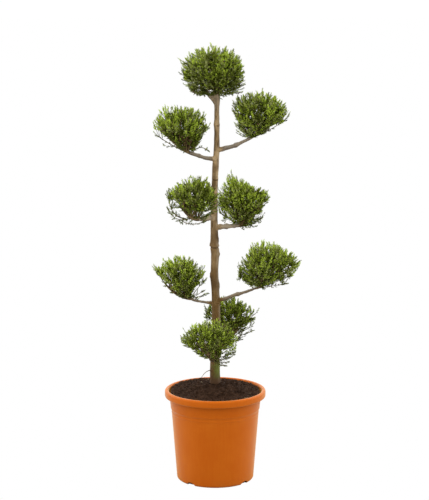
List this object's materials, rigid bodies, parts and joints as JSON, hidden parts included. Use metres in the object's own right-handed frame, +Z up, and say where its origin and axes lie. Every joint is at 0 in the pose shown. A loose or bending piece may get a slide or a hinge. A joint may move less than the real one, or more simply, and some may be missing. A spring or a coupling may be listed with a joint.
{
  "type": "potted leyland cypress pompon topiary",
  "caption": "Young conifer trained on a bare stem into clipped foliage balls at the ends of short boughs, standing in a tapered plastic nursery pot.",
  "frame": {"origin": "middle of the pot's flat underside", "axes": "+Z up along the stem, -Y towards the front, +X to the right seen from the front"},
  "size_m": [0.3903, 0.3021, 1.2025],
  "materials": {
    "pot_plastic": "satin moulded plastic",
    "soil": "crumbly and dull",
    "bark": "rough bark",
    "foliage": "fine scale leaves"
  },
  "bodies": {
    "root": {"pot": "pot_plastic", "soil": "soil", "trunk": "bark", "bough_upper_left": "bark", "bough_upper_right": "bark", "bough_mid_left": "bark", "bough_mid_right": "bark", "bough_lower_left": "bark", "bough_lower_right": "bark", "bough_bottom_front": "bark", "bough_bottom_back": "bark", "pompon_top": "foliage", "pompon_upper_left": "foliage", "pompon_upper_right": "foliage", "pompon_mid_left": "foliage", "pompon_mid_right": "foliage", "pompon_lower_left": "foliage", "pompon_lower_right": "foliage", "pompon_bottom_front": "foliage", "pompon_bottom_back": "foliage"}
  },
  "joints": []
}
